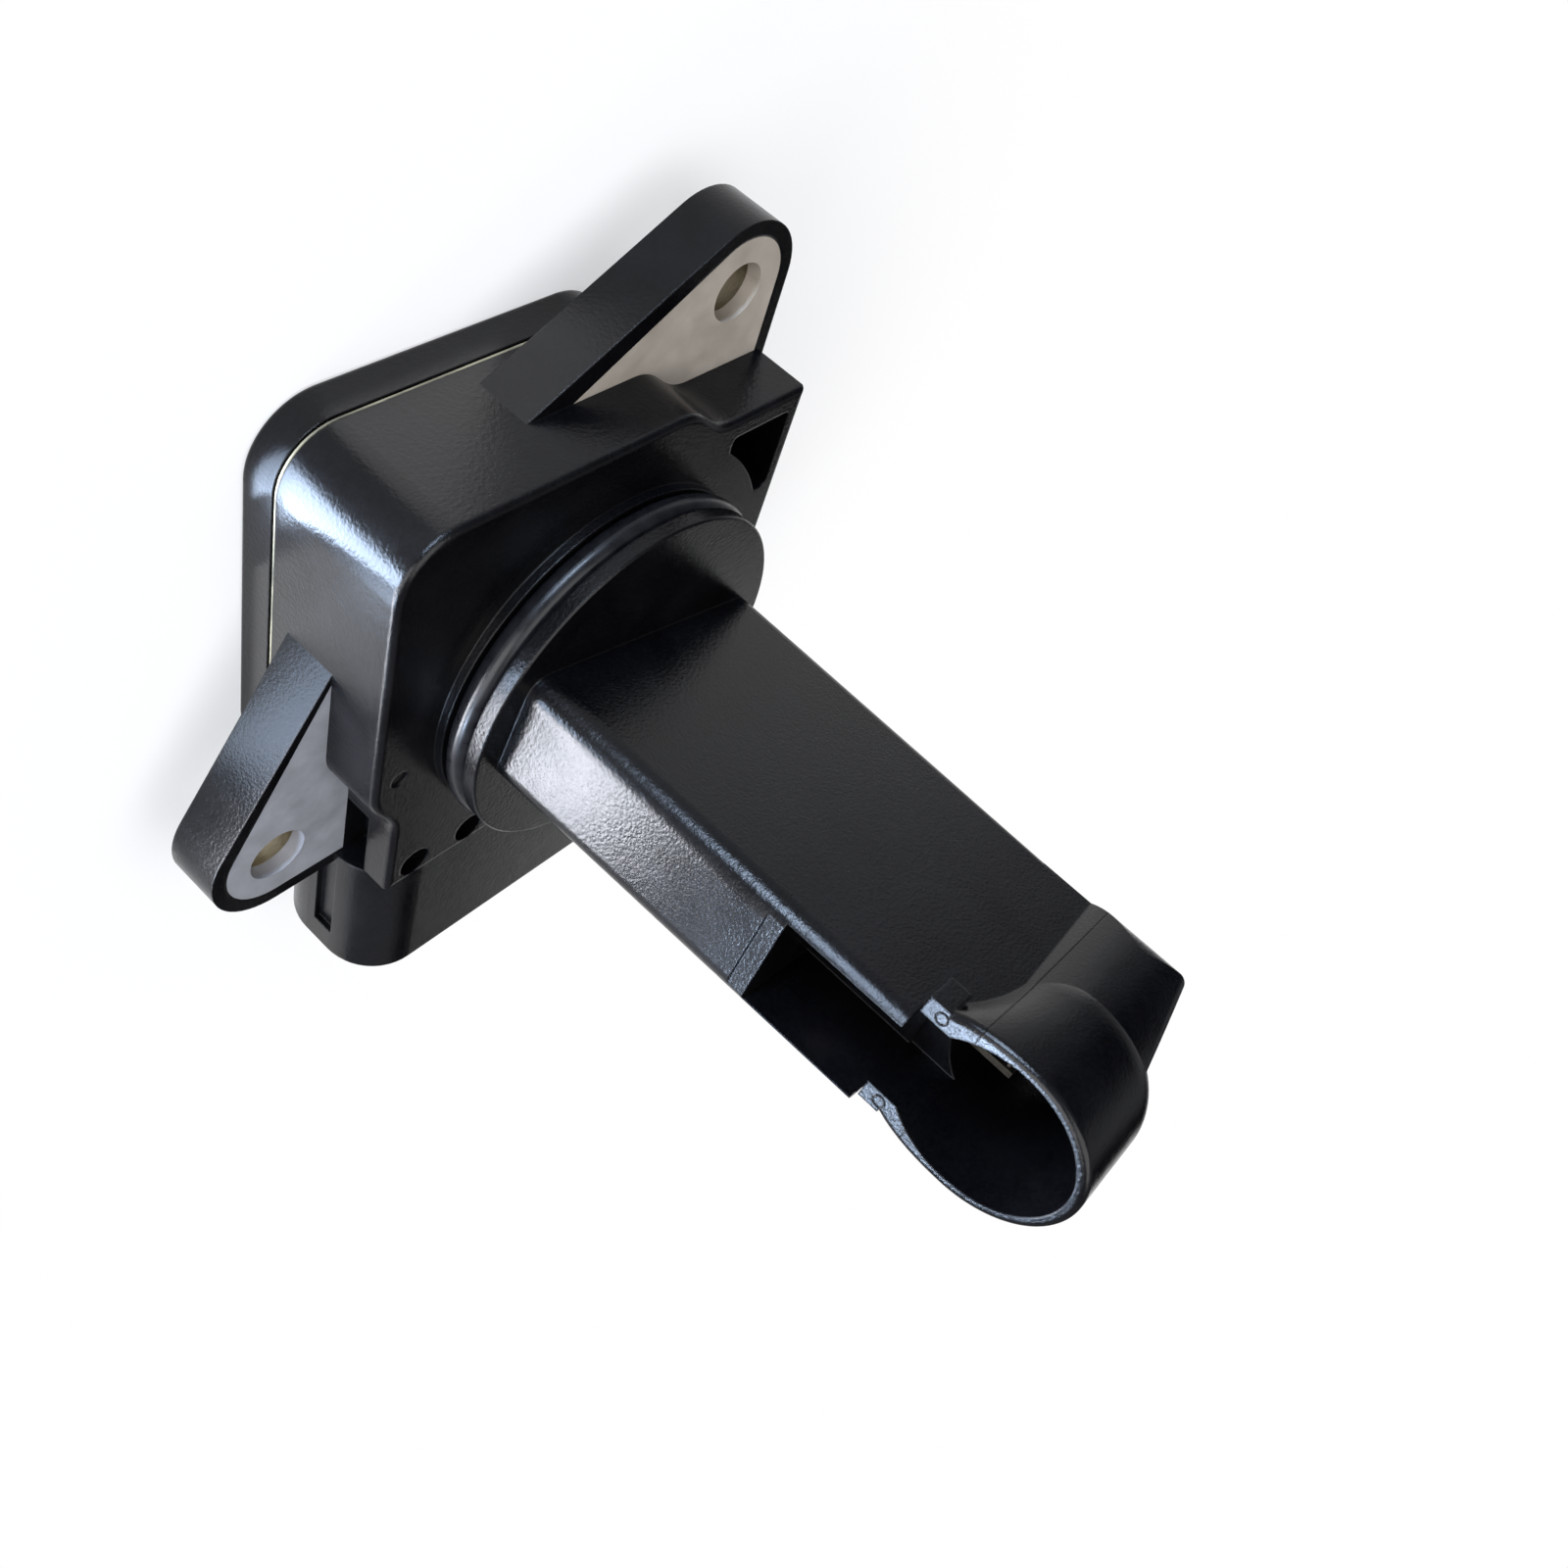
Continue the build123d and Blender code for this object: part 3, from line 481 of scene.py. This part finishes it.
def moulded_plastic(name, colours, rough, grain_height):
    """Black glass-filled polyester as moulded, with the height of its grain in mm."""
    material, tree = new_material(name)
    place = add_node(tree, "ShaderNodeTexCoord").outputs["Object"]
    grain = add_node(
        tree,
        "ShaderNodeTexNoise",
        {"Scale": 1 / FIBRE_GRAIN, "Detail": 3.0, "Roughness": 0.6},
        {"Vector": place},
    )
    patch = add_node(
        tree,
        "ShaderNodeTexNoise",
        {"Scale": 1 / FLOW_PATCH, "Detail": 5.0, "Roughness": 0.55, "Distortion": 0.4},
        {"Vector": place},
    )
    mottle = add_node(
        tree,
        "ShaderNodeMath",
        {"operation": "MULTIPLY"},
        {0: grain.outputs["Fac"], 1: patch.outputs["Fac"]},
    )
    tone = add_node(
        tree,
        "ShaderNodeMapRange",
        {"From Min": MOTTLE_SPAN[0], "From Max": MOTTLE_SPAN[1]},
        {"Value": mottle.outputs[0]},
    )
    roughness = add_node(
        tree,
        "ShaderNodeMapRange",
        {
            "From Min": NOISE_SPAN[0],
            "From Max": NOISE_SPAN[1],
            "To Min": rough[0],
            "To Max": rough[1],
        },
        {"Value": patch.outputs["Fac"]},
    )
    edge = add_node(tree, "ShaderNodeBevel", {"samples": 4, "Radius": MOULD_EDGE})
    skin = add_node(
        tree,
        "ShaderNodeBump",
        {"Strength": 1.0, "Distance": grain_height * MM},
        {"Height": grain.outputs["Fac"], "Normal": edge.outputs[0]},
    )
    settings = {"IOR": POLYESTER_IOR, "Specular IOR Level": SKIN_SPECULAR}
    join_surface(
        tree, colours, tone.outputs[0], roughness.outputs[0], skin.outputs[0], settings
    )
    return material


finishes = {
    "housing_plastic": moulded_plastic(
        "glass_filled_polyester_housing", ("#030304", "#0b0b0d"), (0.16, 0.27), 0.028
    ),
    "lid_plastic": moulded_plastic(
        "glass_filled_polyester_lid", ("#040405", "#0c0c0e"), (0.17, 0.28), 0.026
    ),
    "tip_plastic": moulded_plastic(
        "glass_filled_polyester_tip", ("#030304", "#0a0a0c"), (0.16, 0.27), 0.022
    ),
}
print("plastics:", [material.name for material in finishes.values()])

# %% [markdown]
# The rest are metals and small technical materials. A metal's colour is the tint of its mirror,
# and its surface tells how it was worked. The plates are stamped and coated, so they are even.
# Turned, rolled and drawn metal keeps fine lines that run one way, which a stretched noise gives.
# Scratches could be drawn one by one, but on parts this small nobody would tell them apart.

# %% Worked surfaces


def worked_surface(name, colours, rough, grain, grain_height, stretch=(1, 1, 1), **settings):
    """Two tones and two roughness values mixed by one noise, with its grain and height in mm."""
    material, tree = new_material(name)
    place = add_node(tree, "ShaderNodeTexCoord").outputs["Object"]
    laid = add_node(tree, "ShaderNodeMapping", {"Scale": stretch}, {"Vector": place})
    noise = add_node(
        tree,
        "ShaderNodeTexNoise",
        {"Scale": 1 / (grain * MM), "Detail": 4.0, "Roughness": 0.6},
        {"Vector": laid.outputs[0]},
    )
    tone = add_node(
        tree,
        "ShaderNodeMapRange",
        {"From Min": NOISE_SPAN[0], "From Max": NOISE_SPAN[1]},
        {"Value": noise.outputs["Fac"]},
    )
    roughness = add_node(
        tree,
        "ShaderNodeMapRange",
        {"To Min": rough[0], "To Max": rough[1]},
        {"Value": tone.outputs[0]},
    )
    skin = add_node(
        tree,
        "ShaderNodeBump",
        {"Strength": 1.0, "Distance": grain_height * MM},
        {"Height": noise.outputs["Fac"]},
    )
    join_surface(
        tree, colours, tone.outputs[0], roughness.outputs[0], skin.outputs[0], settings
    )
    return material


print("worked surfaces share one function")

# %% [markdown]
# Four small parts show on the outside, and each has its own sheen against the black: the cream
# bonding bead, the steel plates in the ears, the sleeves in the screw holes and the seal on the
# spigot. Only the steel is metallic. The plates' coat scatters more than it mirrors, so they are
# set half way between a metal and a paint.

# %% Seals and steel
# Cured silicone, soft and matt and cream, mixed by a noise with dark patches about 6 mm across
# that are painted shade of the seam
finishes["sealant"] = worked_surface(
    "cured_silicone_bead_and_painted_shade",
    ("#272622", "#968d74"),
    rough=(0.4, 0.55),
    grain=6.0,
    grain_height=0.02,
    IOR=1.41,
)
# Stamped steel with a matt nickel coat, a warm pale grey with faint clouds 3 mm across
finishes["plate_steel"] = worked_surface(
    "stamped_nickel_coated_steel",
    ("#a89f95", "#b9b1a7"),
    rough=(0.42, 0.52),
    grain=3.0,
    grain_height=0.002,
    Metallic=0.45,
)
# The same steel for the lower plate, as a shaded copy: its darker, cooler colour is painted shade
shaded_plate_steel = worked_surface(
    "stamped_nickel_coated_steel_painted_shade",
    ("#8b8c92", "#a2a3aa"),
    rough=(0.42, 0.52),
    grain=3.0,
    grain_height=0.002,
    Metallic=0.45,
)
# Turned steel with a yellow zinc coat, dull, with the lathe's rings about 0.07 mm apart
finishes["sleeve_steel"] = worked_surface(
    "turned_zinc_coated_steel",
    ("#7d7565", "#9a917c"),
    rough=(0.34, 0.46),
    grain=0.6,
    grain_height=0.003,
    stretch=(1, 1, 9),
    Metallic=1.0,
)
# Nitrile rubber with smears of grease about 1.2 mm across. Its IOR is near 1.52, and is lowered
# here because the seal's edges mirror less than the plastic's.
finishes["seal_rubber"] = worked_surface(
    "nitrile_rubber",
    ("#09090b", "#141416"),
    rough=(0.24, 0.36),
    grain=1.2,
    grain_height=0.004,
    IOR=1.32,
)
print("plates:", finishes["plate_steel"].name, "and", shaded_plate_steel.name)

# %% [markdown]
# Inside the duct and the window stand the parts that feel the air: two small bobbins, a drop of
# resin and the flat leads that carry them. They show only as a faint gleam in the dark. The leads
# and the bobbins' glaze are painted dark as painted shade, the resin is dark in itself, and their
# gloss does the work.

# %% Leads and sensing elements
# Tin on bronze, painted a dull dark grey as painted shade of the duct, in streaks half a mm long
finishes["tinned_bronze"] = worked_surface(
    "tinned_bronze_painted_shade",
    ("#3d3b37", "#57544d"),
    rough=(0.3, 0.45),
    grain=0.5,
    grain_height=0.002,
    stretch=(1, 6, 6),
    Metallic=1.0,
)
# A glass glaze over wound wire, glossy, its colour painted dark as painted shade of the duct. The
# wire is finer than this grain, which is drawn at 0.2 mm so that it shows.
finishes["element_glaze"] = worked_surface(
    "glazed_winding_painted_shade",
    ("#3c3933", "#55514a"),
    rough=(0.12, 0.22),
    grain=0.2,
    grain_height=0.004,
    IOR=1.52,
)
# Dipped epoxy, dark and glossy, with the slow waves of a drop, about 0.7 mm long
finishes["bead_resin"] = worked_surface(
    "dipped_epoxy",
    ("#1d1210", "#33211c"),
    rough=(0.12, 0.2),
    grain=0.7,
    grain_height=0.006,
    IOR=1.55,
)
print("sensing parts:", finishes["element_glaze"].name, "and", finishes["bead_resin"].name)

# %% [markdown]
# The circuit lies closed in under the lid: an aluminium plate, a fired ceramic board with its
# chips, and bright ribbons that join it to the leads. Nobody sees it from outside, but each part
# still has the finish of the real one, for a reader who takes the lid off.

# %% Circuit
# Rolled aluminium, bright, with rolling lines 0.12 mm apart
finishes["base_aluminium"] = worked_surface(
    "rolled_aluminium",
    ("#bcbcbd", "#d2d2d3"),
    rough=(0.3, 0.42),
    grain=1.2,
    grain_height=0.003,
    stretch=(1, 10, 1),
    Metallic=1.0,
)
# Drawn aluminium, bright, with fine lines 0.03 mm apart along each ribbon
finishes["ribbon_aluminium"] = worked_surface(
    "drawn_aluminium",
    ("#c6c6c8", "#dcdcdd"),
    rough=(0.22, 0.32),
    grain=0.2,
    grain_height=0.001,
    stretch=(6, 1, 6),
    Metallic=1.0,
)
# The grains of the next four are a few thousandths of a millimetre, and are drawn at 0.15 to
# 0.3 mm so that they show. Name, tones, roughness, grain and its height in mm, and IOR:
# matt fired alumina, the matt epoxy of a chip's body, tan barium titanate, whose IOR is brought
# down from 2.4 because its fired skin is dull, and a nearly black film under glossy glaze.
for slot, name, colours, rough, grain, grain_height, ior in (
    ("board_ceramic", "fired_alumina", ("#c9c7bd", "#dedcd3"), (0.5, 0.62), 0.3, 0.003, 1.76),
    ("chip_resin", "moulded_epoxy", ("#161617", "#232325"), (0.5, 0.62), 0.15, 0.003, 1.55),
    ("capacitor_ceramic", "fired_titanate", ("#8a6c4c", "#a5845f"), (0.4, 0.52), 0.2, 0.002, 1.9),
    ("resistor_ceramic", "glazed_film", ("#1b1b1d", "#2b2b2e"), (0.2, 0.3), 0.2, 0.001, 1.52),
):
    finishes[slot] = worked_surface(name, colours, rough, grain, grain_height, IOR=ior)
print("finishes:", len(finishes))

# %% [markdown]
# Each piece of the object is listed in the record with the name of its finish. Assigning by that
# name keeps the list in one place, so a piece can't be left with a plain colour by mistake. Only
# the lower plate is changed afterwards, to the shaded copy of the steel, whose darker, cooler
# colour is painted shade.

# %% Dress the pieces
for entry in frame["record"]["subparts"]:
    piece = nodes[entry["node"]]
    piece.data.materials.clear()
    piece.data.materials.append(finishes[entry["material_slot"]])
nodes["lower_ear_plate"].data.materials[0] = shaded_plate_steel

# %% [markdown]
# A thread of sealant and two small rings are the only shapes that these cells add. Both are closed
# tubes. A curve with a round bevel would give such a tube, but a mesh written point by point is as
# short, because its path and its section are only a few sums, and its faces can be counted.

# %% Closed tube
SECTION_STEPS = 8


def closed_tube(name, path, level, radius, material_slot):
    """A tube that follows a closed path of points and outward directions at one level."""
    vertices = []
    for point, out in path:
        for step in range(SECTION_STEPS):
            angle = 2 * pi * step / SECTION_STEPS
            rise = Vector((0, 0, level + radius * sin(angle)))
            vertices.append(point + out * radius * cos(angle) + rise)
    faces = []
    for ring in range(len(path)):
        start, after = ring * SECTION_STEPS, (ring + 1) % len(path) * SECTION_STEPS
        for step in range(SECTION_STEPS):
            beside = (step + 1) % SECTION_STEPS
            faces.append((start + step, after + step, after + beside, start + beside))
    mesh = bpy.data.meshes.new(name)
    mesh.from_pydata(vertices, [], faces)
    mesh.validate()
    mesh.shade_smooth()
    mesh.materials.append(finishes[material_slot])
    piece = bpy.data.objects.new(name, mesh)
    bpy.context.scene.collection.objects.link(piece)
    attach(piece, "root")
    print(f"{name}: {len(faces)} faces")
    return piece


print("a tube's section has", SECTION_STEPS, "sides")

# %% [markdown]
# When the lid was pressed on, a thin line of the sealant came out to the edge of the seam, and it
# shows there as a pale thread all round the box. It follows the rounded outline of the box, a
# little inside its walls. A pale line painted on the wall would be flat, and would not catch the
# light as a round thread does.

# %% Thread of sealant in the seam
BOX_CORNER = 4.3 * MM
THREAD_INSET = 0.16 * MM
THREAD_RADIUS = 0.1 * MM
CORNER_STEPS = 10


def box_outline(low, high, corner, inset):
    """Points and outward directions round the box, pulled in by an inset."""
    centres = (
        (high[0] - corner, high[1] - corner),
        (low[0] + corner, high[1] - corner),
        (low[0] + corner, low[1] + corner),
        (high[0] - corner, low[1] + corner),
    )
    points = []
    for quarter, (x, y) in enumerate(centres):
        for step in range(CORNER_STEPS + 1):
            out = direction(90 * (quarter + step / CORNER_STEPS), 0)
            points.append((Vector((x, y, 0)) + out * (corner - inset), out))
    return points


sealant_low, sealant_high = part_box("lid_sealant")
lid_low, lid_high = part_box("lid")
seam_level = (sealant_low[2] + sealant_high[2]) / 2
thread_path = box_outline(lid_low, lid_high, BOX_CORNER, THREAD_INSET)
closed_tube("sealant_thread", thread_path, seam_level, THREAD_RADIUS, "sealant")
print("the seam lies", round(-seam_level / MM, 2), "mm under the mounting faces")

# %% [markdown]
# Pins push a moulding out of its mould, and each leaves a small round mark. Two of them show at
# the feet of the duct's rim, as raised rings less than a millimetre across. A bump in the plastic
# would vanish at the edge of the light, so they are the same kind of tube: the ring is drawn flat
# at the origin, and its points are then turned to the face that it sits on.

# %% Marks of the ejector pins
PROBE_TURN = -12.56  # degrees from the box's own direction to the air's way through the duct
RIM_STATION = -9.0 * MM  # along the air's way, from the probe's middle to the rim's feet
MARK_SIDE = 4.2 * MM
MARK_LEVEL = 41.2 * MM
MARK_RADIUS = 0.42 * MM
MARK_CORD = 0.08 * MM
MARK_STEPS = 24

flow_way = direction(PROBE_TURN, 0)
side_way = direction(PROBE_TURN + 90, 0)
up_way = Vector((0, 0, 1))
circle = [direction(360 * step / MARK_STEPS, 0) for step in range(MARK_STEPS)]
mark_path = [(out * MARK_RADIUS, out) for out in circle]
for mark_name, side in (("pin_mark_near", MARK_SIDE), ("pin_mark_far", -MARK_SIDE)):
    mark = closed_tube(mark_name, mark_path, 0, MARK_CORD, "housing_plastic")
    middle = flow_way * RIM_STATION + side_way * side + up_way * MARK_LEVEL
    for vertex in mark.data.vertices:
        flat = vertex.co.copy()
        vertex.co = middle + side_way * flat.x + up_way * flat.y - flow_way * flat.z
    print(mark_name, "sits at", [round(value / MM, 2) for value in middle], "mm")

# %% [markdown]
# The picture is shown with the plain Standard view, so a colour renders about as it is written. A
# view made for film would turn the whites grey.

# %% Finish
bpy.context.scene.view_settings.view_transform = "Standard"
